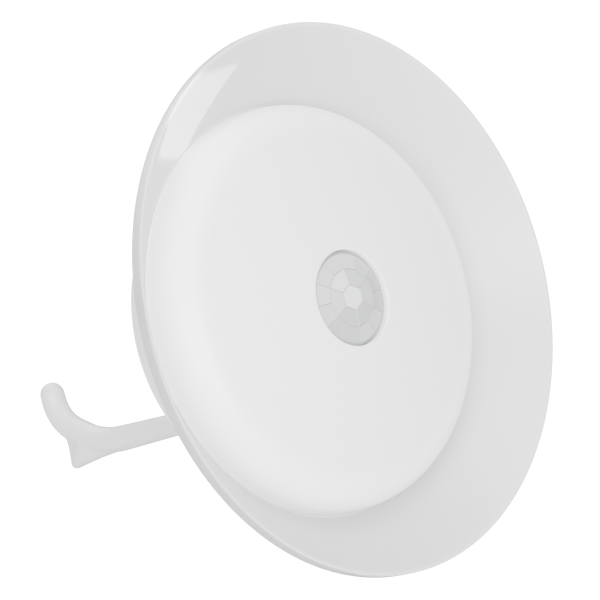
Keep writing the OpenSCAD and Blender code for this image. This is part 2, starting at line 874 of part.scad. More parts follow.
// Arm with its knuckle, two bends, round tip and foot spur, drawn in its side plane
module arm_shape() {
  heel = [hinge_x - back_depth - stop_gap, knuckle_r];
  spur_in = [-2, 0.5];
  spur_root = bend_1_end + spur_in;
  spur_root_r = 2;
  spur = foot - spur_root;
  spur_angle = atan2(spur.y, spur.x);
  web_w = 2.6;
  web_sink = 0.4;
  web_sag = 0.3;
  web_start = [bend_x, arm_y - arm_end_r + web_sink];
  web_end = foot + foot_r * [cos(225), sin(225)];
  difference() {
    union() {
      translate([hinge_x, arm_y])
        cylinder(h = knuckle_w, r = knuckle_r, center = true);
      translate([hinge_x - heel.x, arm_y - heel.y, -knuckle_w / 2])
        cube([heel.x, heel.y, knuckle_w]);
      arm_bar();
      translate(spur_root)
        rotate(spur_angle)
          rotate([0, 90, 0])
            round_ended(spur_root_r, foot_r, norm(spur));
      linear_extrude(height = web_w, center = true)
        polygon(concat([spur_root, web_start], bowed(web_start, web_end, web_sag)));
    }
    translate([hinge_x, arm_y])
      cylinder(h = 2 * knuckle_w, r = pin_d / 2 + pin_fit, center = true);
  }
}

module hook_arm() {
  color("#e9eaea")
    difference() {
      stand()
        side_plane()
          arm_shape();
      table();
    }
}

module hook_pin() {
  color("#b9bcc0")
    stand()
      side_plane()
        translate([hinge_x, arm_y])
          cylinder(h = pin_l - 2 * pin_inset, r = pin_d / 2, center = true);
}

// Friction washers between the knuckle and the ears
module hinge_washers() {
  color("#c8c8c4")
    stand()
      side_plane()
        for (s = [-1, 1])
          translate([hinge_x, arm_y, s * (knuckle_w / 2 + side_gap + washer_t / 2)])
            difference() {
              cylinder(h = washer_t, r = knuckle_r, center = true);
              cylinder(h = 2 * washer_t, r = pin_d / 2 + press_fit, center = true);
            }
}

diffuser_bowl();
front_cap();
pir_lens();
lens_retainer();
pir_sensor();
sensor_collar();
light_sensor();
main_board();
leds();
led_resistors();
control_chip();
capacitors();
board_screws();
rear_housing();
housing_screws();
battery_door();
battery_1();
battery_2();
battery_3();
contact_springs();
contact_plates();
switch_body();
switch_wires();
switch_knob();
hook_arm();
hook_pin();
hinge_washers();
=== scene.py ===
"""Looks of a motion sensor night light: pieces, finishes and stage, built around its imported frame."""

import json
import math

import bmesh
import bpy
from bpy.props import FloatProperty, FloatVectorProperty, PointerProperty
from bpy.types import Operator, Panel, PropertyGroup
from mathutils import Matrix, Vector


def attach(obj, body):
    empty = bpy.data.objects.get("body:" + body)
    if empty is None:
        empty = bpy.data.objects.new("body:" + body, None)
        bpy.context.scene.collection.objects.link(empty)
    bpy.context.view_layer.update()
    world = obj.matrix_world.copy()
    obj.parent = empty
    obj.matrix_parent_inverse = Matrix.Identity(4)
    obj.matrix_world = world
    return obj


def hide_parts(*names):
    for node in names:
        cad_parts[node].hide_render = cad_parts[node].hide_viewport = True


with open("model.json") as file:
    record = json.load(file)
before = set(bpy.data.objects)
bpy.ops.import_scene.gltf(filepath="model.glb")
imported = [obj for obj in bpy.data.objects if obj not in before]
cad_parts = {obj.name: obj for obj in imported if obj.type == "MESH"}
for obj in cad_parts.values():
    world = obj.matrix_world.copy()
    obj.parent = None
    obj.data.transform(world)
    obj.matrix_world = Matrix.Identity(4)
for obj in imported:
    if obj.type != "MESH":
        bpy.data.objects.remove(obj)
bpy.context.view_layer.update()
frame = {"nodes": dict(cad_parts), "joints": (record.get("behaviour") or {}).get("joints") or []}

bl_info = {
    "name": "Motion Sensor Night Light",
    "version": (1, 0, 0),
    "blender": (4, 5, 0),
    "location": "View3D > Sidebar > Night Light",
    "description": "Builds the pieces, finishes and stage of a motion sensor night light",
    "category": "Object",
}

JOINTS = {joint["name"]: joint for joint in frame["joints"]}
MM = 0.001
QUARTER_TURN = math.pi / 2
MERGE_DISTANCE = 1e-7

# Edges round the bowl and the cap, round the hinge knuckle, round the arm's bar, and along a wall
TURNED_STEPS = 256
KNUCKLE_STEPS = 64
BAR_STEPS = 32
WALL_STEPS = 24


def length(name, description, millimetres):
    """A size in metres with its default given in millimetres."""
    return FloatProperty(
        name=name, description=description, default=millimetres * MM, unit="LENGTH", precision=5
    )


def angle_of(name, description, degrees):
    """An angle with its default given in degrees."""
    return FloatProperty(name=name, description=description, default=math.radians(degrees), subtype="ANGLE")


def colour(name, description, rgb):
    """A plain colour of a finish."""
    return FloatVectorProperty(
        name=name, description=description, default=rgb, subtype="COLOR", size=3, min=0, max=1
    )


def number(name, description, default):
    """A plain number, such as a shade or a brightness."""
    return FloatProperty(name=name, description=description, default=default)


class NightLightBowlSizes(PropertyGroup):
    """Sizes of the diffuser bowl, the front cap and the lens."""

    rim_r: length("Rim radius", "Outer radius of the bowl's rim", 60)
    lip_h: length("Lip height", "Height of the band round the rim", 2.9)
    lip_round: length("Lip rounding", "Rounding of the rim's outer corners", 0.25)
    lip_roll: length("Lip roll", "Width of the rolled edge inside the rim", 1)
    bowl_wall: length("Bowl wall", "Thickness of the bowl's wall", 1.6)
    bowl_depth: length("Bowl depth", "Depth of the bowl's foot ring behind the rim", 18.2)
    bowl_bow: length("Bowl bow", "How far the wall bows out from a cone", 0.2)
    foot_in_r: length("Foot ring radius", "Inner radius of the foot ring", 35.8)
    light_gap: length("Light gap", "Gap between the cap's skirt and the wall", 0.3)
    cap_r: length("Cap radius", "Largest radius of the front cap", 44.4)
    cap_round: length("Cap rounding", "Radius of the cap's rounded edge", 8)
    cap_dome_r: length("Cap dome radius", "Radius of the cap's shallow dome", 155)
    cap_skirt: length("Cap skirt", "Straight skirt below the rounded edge", 3.4)
    cap_wall: length("Cap wall", "Thickness of the cap's wall", 1.8)
    skirt_depth: length("Skirt depth", "Depth of the skirt's edge behind the rim", 16.4)
    skirt_reach: length("Skirt reach", "How far the skirt reaches on towards the wall", 0.3)
    lens_r: length("Lens radius", "Radius of the lens dome", 10.2)
    lens_gap: length("Lens gap", "Gap round the lens in its hole", 0.25)
    lens_recess: length("Lens recess", "Depth of the lens edge behind the cap's face", 1.2)
    lens_rise: length("Lens rise", "Rise of the lens dome", 1.3)
    lens_t: length("Lens wall", "Thickness of the lens", 0.7)
    lens_flange: length("Lens flange", "Width of the flange behind the cap", 1.8)
    flange_depth: length("Flange depth", "Depth of the flange's front behind the rim", 2.71)


class NightLightArmSizes(PropertyGroup):
    """Sizes of the hook arm and the place of its hinge."""

    hinge_drop: length("Hinge drop", "Distance of the hinge below the lamp's axis", 16.9)
    hinge_depth: length("Hinge depth", "Distance of the hinge behind the rim", 38.3)
    back_depth: length("Back depth", "Distance of the flat back behind the rim", 34)
    arm_l: length("Arm length", "Length of the straight part", 44.9)
    root_r: length("Root radius", "Radius of the arm at the hinge", 2.2)
    end_r: length("End radius", "Radius of the arm at the first bend", 3)
    tip_r: length("Tip radius", "Radius of the round tip", 2.9)
    bend_1_r: length("First bend", "Radius of the wide first bend", 26)
    bend_2_r: length("Second bend", "Radius of the tight second bend", 8.3)
    bend_1_angle: angle_of("First bend angle", "Angle of the wide first bend", 38)
    tip_l: length("Tip length", "Straight part below the round tip", 1.5)
    foot_back: length("Foot place", "Distance of the foot behind the first bend", 17.1)
    foot_drop: length("Foot drop", "Distance of the foot's round end below the arm", 2.9)
    foot_r: length("Foot radius", "Radius of the foot's round end", 1.5)
    knuckle_r: length("Knuckle radius", "Radius of the hinge knuckle", 3.6)
    knuckle_w: length("Knuckle width", "Width of the hinge knuckle", 6)
    bore_r: length("Bore radius", "Radius of the hole for the hinge pin", 1.3)
    stop_gap: length("Stop gap", "Gap between the heel and the back", 0.3)


class NightLightFinishes(PropertyGroup):
    """Colours of the finishes, and painted light and shade that multiply them."""

    diffuser: colour("Diffuser", "Milky plastic of the bowl", (0.55, 0.555, 0.555))
    cap: colour("Cap", "White plastic of the cap", (0.80, 0.805, 0.805))
    lens: colour("Lens", "Milky plastic of the lens", (0.45, 0.458, 0.464))
    housing: colour("Housing", "White plastic of the back", (0.85, 0.855, 0.855))
    arm: colour("Arm", "White plastic of the hook arm", (0.63, 0.635, 0.635))
    marks: colour("Marks", "Print beside the switch", (0.30, 0.31, 0.32))
    # Painted light and shade that multiply colours: the bowl's darker rim band and its lighter top, the bright
    # wall in the cap's joint, the darker wall at its foot, and the cap's lighter rounded edge
    band_shade: number("Band shade", "Shade of the band round the rim", 0.68)
    top_shade: number("Top shade", "Shade of that band towards its top", 1)
    joint_shade: number("Joint shade", "Shade of the wall inside the cap's joint", 1.6)
    edge_shade: number("Edge shade", "Shade of the cap's rounded edge", 1.22)
    foot_shade: number("Foot shade", "Shade of the wall where it meets the cap", 0.88)


class NightLightStageSizes(PropertyGroup):
    """Camera and light of the stage."""

    azimuth: angle_of("Azimuth", "Camera's turn round the lamp, from the front", -46.4)
    elevation: angle_of("Elevation", "Camera's height angle", 15)
    distance: length("Distance", "Camera's distance in front of the rim's middle", 1000)
    aside: length("Aside", "How far the camera stands to the left of the rim's middle", 11.69)
    below: length("Below", "How far the camera stands below the rim's middle", 0.72)
    focal_mm: number("Focal length", "Lens in mm on a 36 mm sensor", 282.3)
    floor_glow: number("Floor glow", "Brightness of the lit floor", 25)
    window_watts: number("Window light", "Power of the window's beam", 0.0066)
    sky: number("Sky", "Brightness of the white studio round the lamp", 0.25)


PROPERTY_GROUPS = {
    "night_light_bowl": NightLightBowlSizes,
    "night_light_arm": NightLightArmSizes,
    "night_light_finishes": NightLightFinishes,
    "night_light_stage": NightLightStageSizes,
}


def between(low, high, share):
    """The value at a share of the way from low to high."""
    return low + (high - low) * share


def placed_axes(x, y, z, place):
    """Matrix with three directions as its axes and a place as its origin."""
    return Matrix((
        (x.x, y.x, z.x, place.x),
        (x.y, y.y, z.y, place.y),
        (x.z, y.z, z.z, place.z),
        (0, 0, 0, 1),
    ))


def lamp_axes(arm):
    """Matrix from the lamp's own axes, with z forward from the rim, to the frame's axes."""
    up = Vector(JOINTS["door_slide"]["axis"]).normalized()
    front = Vector((0, -up.z, up.y))
    rim = Vector(JOINTS["hook_fold"]["pos_m"]) + up * arm.hinge_drop + front * arm.hinge_depth
    return placed_axes(Vector((1, 0, 0)), up, front, rim)


# Profile tools: a profile is a chain of edges in the plane y = 0, with x as its radius


def start_at(bm, x, z):
    """First point of a profile."""
    return bm.verts.new((x, 0, z))


def line_to(bm, vert, x, z):
    """Straight edge from vert to a point."""
    new = bmesh.ops.extrude_vert_indiv(bm, verts=[vert])["verts"][0]
    new.co = (x, 0, z)
    return new


def arc_by(bm, vert, centre_x, centre_z, angle, steps):
    """Arc of edges from vert round a centre; a positive angle turns from +x towards +z."""
    spun = bmesh.ops.spin(
        bm, geom=[vert], cent=(centre_x, 0, centre_z), axis=(0, -1, 0), angle=angle, steps=steps,
        use_duplicate=False,
    )
    return only_verts(spun["geom_last"])[0]


def bowed_to(bm, vert, x, z, sag, steps):
    """Shallow arc of edges from vert to a point that bows to the left by sag."""
    start = Vector((vert.co.x, vert.co.z))
    end = Vector((x, z))
    chord = end - start
    left = Vector((-chord.y, chord.x)).normalized()
    radius = (chord.length_squared / 4 + sag * sag) / (2 * sag)
    centre = (start + end) / 2 + left * (sag - radius)
    return arc_by(bm, vert, centre.x, centre.y, -2 * math.asin(chord.length / 2 / radius), steps)


def close_to(bm, vert, first):
    """Last edge of a closed profile."""
    bm.edges.new((vert, first))


def turn_profile(bm, steps):
    """Turns the whole profile once round the z axis into a closed skin."""
    bmesh.ops.remove_doubles(bm, verts=bm.verts, dist=MERGE_DISTANCE)
    bmesh.ops.spin(
        bm, geom=bm.verts[:] + bm.edges[:], cent=(0, 0, 0), axis=(0, 0, 1), angle=math.tau, steps=steps,
        use_merge=True, use_duplicate=False,
    )
    bmesh.ops.remove_doubles(bm, verts=bm.verts, dist=MERGE_DISTANCE)
    bmesh.ops.recalc_face_normals(bm, faces=bm.faces)


# Tools for the skins of the pieces


def only_verts(items):
    """The vertices among the results of an operator."""
    return [item for item in items if isinstance(item, bmesh.types.BMVert)]


def only_edges(items):
    """The edges among the results of an operator."""
    return [item for item in items if isinstance(item, bmesh.types.BMEdge)]


def open_edges(bm):
    """The edges with a face on one side only."""
    return [edge for edge in bm.edges if edge.is_boundary]


def cut_at_table(bm):
    """Cuts away what lies below the table and closes the cut with a flat."""
    bmesh.ops.bisect_plane(
        bm, geom=bm.verts[:] + bm.edges[:] + bm.faces[:], plane_co=(0, 0, 0), plane_no=(0, 0, 1),
        clear_inner=True,
    )
    bmesh.ops.holes_fill(bm, edges=open_edges(bm))


def loft(bm, rings):
    """Closed skin through oval rings; each has a place, a turn about x, and half sizes across x and in plane.

    A ring faces +z before its turn, so a turn of 0 runs the loft along +z.
    """
    edges = None
    for place, turn, across, in_plane in rings:
        to_ring = (
            Matrix.Translation(place) @ Matrix.Rotation(turn, 4, "X") @ Matrix.Diagonal((across, in_plane, 1, 1))
        )
        if edges is None:
            verts = bmesh.ops.create_circle(bm, cap_ends=True, segments=BAR_STEPS, radius=1)["verts"]
            edges = list({edge for vert in verts for edge in vert.link_edges})
        else:
            grown = bmesh.ops.extrude_edge_only(bm, edges=edges)["geom"]
            verts, edges = only_verts(grown), only_edges(grown)
            bmesh.ops.transform(bm, matrix=back_to_unit, verts=verts)
        bmesh.ops.transform(bm, matrix=to_ring, verts=verts)
        back_to_unit = to_ring.inverted()
    bmesh.ops.edgenet_fill(bm, edges=edges)


def straight_rings(start, end, sections):
    """Rings from start to end; a section has its share of the way and its two half sizes in millimetres."""
    way = end - start
    turn = math.atan2(-way.y, way.z)
    return [
        (start + way * share, turn, across * MM, in_plane * MM) for share, across, in_plane in sections
    ]


def apply_modifiers(piece):
    """Puts the result of a piece's modifiers into its mesh."""
    depsgraph = bpy.context.evaluated_depsgraph_get()
    shaped = bpy.data.meshes.new_from_object(piece.evaluated_get(depsgraph))
    piece.modifiers.clear()
    piece.data = shaped


def finish_piece(name, bm, body, material, nodes=(), sharp=35):
    """Makes the mesh a smooth-shaded object that rides on a body and stands for CAD nodes.

    Edges that turn by more than sharp degrees stay sharp.
    """
    mesh = bpy.data.meshes.new(name)
    bm.to_mesh(mesh)
    bm.free()
    mesh.shade_smooth()
    mesh.set_sharp_from_angle(angle=math.radians(sharp))
    mesh.materials.append(material)
    piece = bpy.data.objects.new(name, mesh)
    bpy.context.scene.collection.objects.link(piece)
    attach(piece, body)
    if nodes:
        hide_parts(*nodes)
    return piece


# Finishes, with their shared effects as node groups


def math_node(nodes, operation, second=None):
    """Math node, with its second value where that is fixed."""
    node = nodes.new("ShaderNodeMath")
    node.operation = operation
    if second is not None:
        node.inputs[1].default_value = second
    return node


def node_group(name, inputs, outputs):
    """Empty shader node group with float inputs and outputs."""
    group = bpy.data.node_groups.new(name, "ShaderNodeTree")
    for label, default in inputs.items():
        socket = group.interface.new_socket(name=label, in_out="INPUT", socket_type="NodeSocketFloat")
        socket.default_value = default
    for label in outputs:
        group.interface.new_socket(name=label, in_out="OUTPUT", socket_type="NodeSocketFloat")
    return group, group.nodes.new("NodeGroupInput"), group.nodes.new("NodeGroupOutput")


def moulded_skin():
    """Fine grain and slow unevenness of a moulded surface: a height and a roughness."""
    group, given, result = node_group(
        "moulded_skin",
        {"Grain Scale": 2500, "Wave Scale": 40, "Grain": 0.3, "Roughness": 0.35, "Spread": 0.06},
        ("Height", "Roughness"),
    )
    nodes, links = group.nodes, group.links
    place = nodes.new("ShaderNodeTexCoord")
    grain = nodes.new("ShaderNodeTexNoise")
    wave = nodes.new("ShaderNodeTexNoise")
    for noise, scale, detail in ((grain, "Grain Scale", 2), (wave, "Wave Scale", 3)):
        noise.inputs["Detail"].default_value = detail
        links.new(place.outputs["Object"], noise.inputs["Vector"])
        links.new(given.outputs[scale], noise.inputs["Scale"])
    grain_part = math_node(nodes, "MULTIPLY")
    links.new(grain.outputs["Fac"], grain_part.inputs[0])
    links.new(given.outputs["Grain"], grain_part.inputs[1])
    height = math_node(nodes, "ADD")
    links.new(grain_part.outputs[0], height.inputs[0])
    links.new(wave.outputs["Fac"], height.inputs[1])
    links.new(height.outputs[0], result.inputs["Height"])
    centred = math_node(nodes, "SUBTRACT", 0.5)
    links.new(wave.outputs["Fac"], centred.inputs[0])
    rough = math_node(nodes, "MULTIPLY_ADD")
    links.new(centred.outputs[0], rough.inputs[0])
    links.new(given.outputs["Spread"], rough.inputs[1])
    links.new(given.outputs["Roughness"], rough.inputs[2])
    links.new(rough.outputs[0], result.inputs["Roughness"])
    return group


def colour_drift():
    """Slow drift between a colour and a slightly darker one, as a mask."""
    group, given, result = node_group("colour_drift", {"Scale": 25, "Contrast": 1}, ("Mask",))
    nodes, links = group.nodes, group.links
    place = nodes.new("ShaderNodeTexCoord")
    noise = nodes.new("ShaderNodeTexNoise")
    noise.inputs["Detail"].default_value = 4
    links.new(place.outputs["Object"], noise.inputs["Vector"])
    links.new(given.outputs["Scale"], noise.inputs["Scale"])
    mask = math_node(nodes, "MULTIPLY")
    mask.use_clamp = True
    links.new(noise.outputs["Fac"], mask.inputs[0])
    links.new(given.outputs["Contrast"], mask.inputs[1])
    links.new(mask.outputs[0], result.inputs["Mask"])
    return group


def shared_group(maker):
    """The node group that maker builds, made only once."""
    return bpy.data.node_groups.get(maker.__name__) or maker()


def darkened(rgb, factor):
    """A colour times a factor, with alpha."""
    return tuple(channel * factor for channel in rgb[:3]) + (1.0,)


def surface(name, base, roughness, spread=0.06, grain=0.3, bump=0.03, drift=0.95, grain_scale=2500,
            wave_scale=40, shade=None, **sockets):
    """Principled material with moulded grain, drifting colour and the given plain sockets.

    The attribute named by shade, if any, multiplies the colour with painted light and shade.
    """
    relief_height = 0.1 * MM
    material = bpy.data.materials.new(name)
    material.use_nodes = True
    nodes, links = material.node_tree.nodes, material.node_tree.links
    shader = nodes["Principled BSDF"]
    skin = nodes.new("ShaderNodeGroup")
    skin.node_tree = shared_group(moulded_skin)
    for label, value in (
        ("Grain Scale", grain_scale), ("Wave Scale", wave_scale), ("Grain", grain), ("Roughness", roughness),
        ("Spread", spread),
    ):
        skin.inputs[label].default_value = value
    relief = nodes.new("ShaderNodeBump")
    relief.inputs["Strength"].default_value = bump
    relief.inputs["Distance"].default_value = relief_height
    links.new(skin.outputs["Height"], relief.inputs["Height"])
    links.new(relief.outputs["Normal"], shader.inputs["Normal"])
    links.new(skin.outputs["Roughness"], shader.inputs["Roughness"])
    wander = nodes.new("ShaderNodeGroup")
    wander.node_tree = shared_group(colour_drift)
    mix = nodes.new("ShaderNodeMix")
    mix.data_type = "RGBA"
    mix.inputs["A"].default_value = darkened(base, 1)
    mix.inputs["B"].default_value = darkened(base, drift)
    links.new(wander.outputs["Mask"], mix.inputs["Factor"])
    tint = mix.outputs["Result"]
    if shade:
        tone = nodes.new("ShaderNodeAttribute")
        tone.attribute_name = shade
        toned = nodes.new("ShaderNodeMix")
        toned.data_type = "RGBA"
        toned.blend_type = "MULTIPLY"
        toned.inputs["Factor"].default_value = 1
        links.new(tint, toned.inputs["A"])
        links.new(tone.outputs["Fac"], toned.inputs["B"])
        tint = toned.outputs["Result"]
    links.new(tint, shader.inputs["Base Color"])
    for socket, value in sockets.items():
        shader.inputs[socket.replace("_", " ")].default_value = value
    return material


def milky(name, base, roughness, glow, **more):
    """Translucent white plastic: light spreads a few millimetres inside it."""
    return surface(
        name, base, roughness, Subsurface_Weight=glow, Subsurface_Radius=(1.0, 1.0, 1.0),
        Subsurface_Scale=3 * MM, IOR=1.49, **more,
    )


def pass_light(material, share):
    """Lets a share of the light through each side of a thin milky wall instead of a full shadow."""
    nodes, links = material.node_tree.nodes, material.node_tree.links
    path = nodes.new("ShaderNodeLightPath")
    passed = math_node(nodes, "MULTIPLY", share)
    links.new(path.outputs["Is Shadow Ray"], passed.inputs[0])
    clear = nodes.new("ShaderNodeBsdfTransparent")
    mixed = nodes.new("ShaderNodeMixShader")
    links.new(passed.outputs[0], mixed.inputs["Fac"])
    links.new(nodes["Principled BSDF"].outputs["BSDF"], mixed.inputs[1])
    links.new(clear.outputs["BSDF"], mixed.inputs[2])
    links.new(mixed.outputs["Shader"], nodes["Material Output"].inputs["Surface"])
    return material


class NIGHTLIGHT_OT_bowl(Operator):
    """Flared translucent bowl with its rolled rim, its foot ring and its standing flat"""

    bl_idname = "night_light.bowl"
    bl_label = "Diffuser bowl"

    def execute(self, context):
        size = context.scene.night_light_bowl
        finishes = context.scene.night_light_finishes
        roll_steps, corner_steps = 8, 6
        roll_drop = 0.4 * size.lip_roll
        roll_bow = 0.07 * size.lip_roll
        corner_r = size.rim_r - size.lip_round
        band_z = size.lip_round - size.lip_h
        top = Vector((size.rim_r - size.lip_roll, -roll_drop))
        run = (top - Vector((size.cap_r + size.light_gap, -size.skirt_depth))).normalized()
        foot_r = top.x - (top.y + size.bowl_depth) * run.x / run.y
        back_r = foot_r + size.bowl_wall * run.y
        back_z = -size.bowl_depth - size.bowl_wall * run.x
        seat_z = -size.bowl_depth - size.bowl_wall

        def outer_r(z):
            return back_r + (z - back_z) * run.x / run.y

        bm = bmesh.new()
        first = start_at(bm, size.foot_in_r, -size.bowl_depth)
        vert = line_to(bm, first, foot_r, -size.bowl_depth)
        vert = bowed_to(bm, vert, top.x, top.y, -size.bowl_bow, WALL_STEPS)
        vert = bowed_to(bm, vert, corner_r, 0, roll_bow, roll_steps)
        vert = arc_by(bm, vert, corner_r, -size.lip_round, -QUARTER_TURN, corner_steps)
        vert = line_to(bm, vert, size.rim_r, band_z)
        vert = arc_by(bm, vert, corner_r, band_z, -QUARTER_TURN, corner_steps)
        vert = line_to(bm, vert, outer_r(-size.lip_h), -size.lip_h)
        vert = bowed_to(bm, vert, outer_r(seat_z), seat_z, size.bowl_bow, WALL_STEPS)
        vert = line_to(bm, vert, size.foot_in_r, seat_z)
        close_to(bm, vert, first)
        turn_profile(bm, TURNED_STEPS)

        # Painted light and shade on the bowl: the band round the rim is painted darker, and painted lighter
        # towards its top as if lit from above; the inner wall inside the cap's joint is painted bright against
        # the shade there, and the wall is painted darker from the rim down to its foot, where the cap shades it
        lighter_from, lighter_over = 0.15, 0.45
        joint_z = 0.3 * MM - size.skirt_depth
        shade = bm.verts.layers.float.new("shade")
        for vert in bm.verts:
            r = math.hypot(vert.co.x, vert.co.y)
            # Painted shade on the rim band, painted lighter towards its top as if lit from above
            if r > size.rim_r - 0.5 * size.lip_round:
                rise = min(1, max(0, (vert.co.y / size.rim_r - lighter_from) / lighter_over))
                vert[shade] = between(finishes.band_shade, finishes.top_shade, rise)
            # Painted light: the inner wall inside the cap's joint is painted bright against the shade of the
            # crevice
            elif vert.co.z < joint_z and r < outer_r(vert.co.z) - 0.5 * size.bowl_wall:
                vert[shade] = finishes.joint_shade
            # Painted shade: the wall gets darker from the rim down to its foot, where the cap shades it
            else:
                height = (vert.co.z + size.bowl_depth) / size.bowl_depth
                vert[shade] = between(finishes.foot_shade, 1, height)
        bmesh.ops.transform(bm, matrix=lamp_axes(context.scene.night_light_arm), verts=bm.verts)
        cut_at_table(bm)
        material = milky(
            "milky_diffuser", finishes.diffuser, roughness=0.38, glow=0.7, shade="shade", Coat_Weight=0.12,
            Coat_Roughness=0.2,
        )
        pass_light(material, share=0.8)
        finish_piece("bowl", bm, "lamp", material, ("diffuser_bowl",), sharp=28)
        return {"FINISHED"}


def cap_dome_depth(size):
    """Depth of the middle of the cap's dome sphere behind the rim."""
    edge_depth = size.skirt_depth - size.cap_skirt
    return edge_depth + math.sqrt(
        (size.cap_dome_r - size.cap_round) ** 2 - (size.cap_r - size.cap_round) ** 2
    )


class NIGHTLIGHT_OT_cap(Operator):
    """Pebble-shaped white cap with a softened hole for the lens"""

    bl_idname = "night_light.cap"
    bl_label = "Front cap"

    def execute(self, context):
        size = context.scene.night_light_bowl
        finishes = context.scene.night_light_finishes
        dome_steps, round_steps, hole_steps, skirt_steps = 40, 32, 5, 3
        hole_soft = 0.3 * MM
        hole_bow = 0.3 * hole_soft
        skirt_soft = 0.06 * MM
        centre_r = size.cap_r - size.cap_round
        centre_z = size.cap_skirt - size.skirt_depth
        inner_r = size.cap_r - size.cap_wall
        skirt_z = -size.skirt_depth - size.skirt_reach
        dome_z = -cap_dome_depth(size)
        turn = math.asin(centre_r / (size.cap_dome_r - size.cap_round))
        hole_r = size.lens_r + size.lens_gap
        start_angle = math.asin((hole_r + hole_soft) / size.cap_dome_r)
        end_angle = math.asin(hole_r / (size.cap_dome_r - size.cap_wall))

        bm = bmesh.new()
        first = start_at(
            bm, size.cap_dome_r * math.sin(start_angle), dome_z + size.cap_dome_r * math.cos(start_angle)
        )
        vert = arc_by(bm, first, 0, dome_z, start_angle - turn, dome_steps)
        vert = arc_by(bm, vert, centre_r, centre_z, turn - QUARTER_TURN, round_steps)
        vert = line_to(bm, vert, size.cap_r, skirt_soft + skirt_z)
        vert = arc_by(bm, vert, size.cap_r - skirt_soft, skirt_soft + skirt_z, -QUARTER_TURN, skirt_steps)
        vert = line_to(bm, vert, inner_r, skirt_z)
        vert = line_to(bm, vert, inner_r, centre_z)
        vert = arc_by(bm, vert, centre_r, centre_z, QUARTER_TURN - turn, WALL_STEPS)
        vert = arc_by(bm, vert, 0, dome_z, turn - end_angle, WALL_STEPS)
        vert = line_to(bm, vert, hole_r, first.co.z - hole_soft)
        bowed_to(bm, vert, first.co.x, first.co.z, hole_bow, hole_steps)
        turn_profile(bm, TURNED_STEPS)
        # Painted light: the cap's colour gets lighter over its rounded edge and skirt
        shade = bm.verts.layers.float.new("shade")
        for vert in bm.verts:
            share = (math.hypot(vert.co.x, vert.co.y) - centre_r) / size.cap_round
            vert[shade] = between(1, finishes.edge_shade, max(0, share))
        bmesh.ops.transform(bm, matrix=lamp_axes(context.scene.night_light_arm), verts=bm.verts)
        material = surface(
            "satin_white_cap", finishes.cap, roughness=0.34, shade="shade", IOR=1.45, Coat_Weight=0.2,
            Coat_Roughness=0.2,
        )
        finish_piece("cap", bm, "lamp", material, ("front_cap",), sharp=28)
        return {"FINISHED"}


# Painted light and shade of the lens: a bright middle facet, and painted shade in the grooves between facets, on
# its border, and on its sides and flange
MIDDLE_PAINTED_LIGHT, GROOVE_PAINTED_SHADE, BORDER_PAINTED_SHADE, SIDE_PAINTED_SHADE = 1.32, 0.66, 0.55, 0.4

# Painted shading of each ring of facets: its plain shade, the painted light it gains on the lit side, and the
# height and number of its ripples
INNER_RING_PAINTED_SHADING = (0.77, 0.5, 0.08, 4)
OUTER_RING_PAINTED_SHADING = (0.8, 0.25, 0.1, 9)
LIT_SIDE = math.radians(115)


def facet_shade(place, middle_r, ring_r):
    """Painted light and shade of a facet of the lens: bright in the middle and towards the upper left, as if lit
    from there, dark elsewhere.
    """
    r = math.hypot(place.x, place.y)
    if r < 0.5 * middle_r:
        return MIDDLE_PAINTED_LIGHT
    plain, gain, ripple, ripples = INNER_RING_PAINTED_SHADING if r < ring_r else OUTER_RING_PAINTED_SHADING
    turn = math.atan2(place.y, place.x)
    lit = max(0, math.cos(turn - LIT_SIDE)) ** 2
    return plain + gain * lit + ripple * math.cos(ripples * turn)


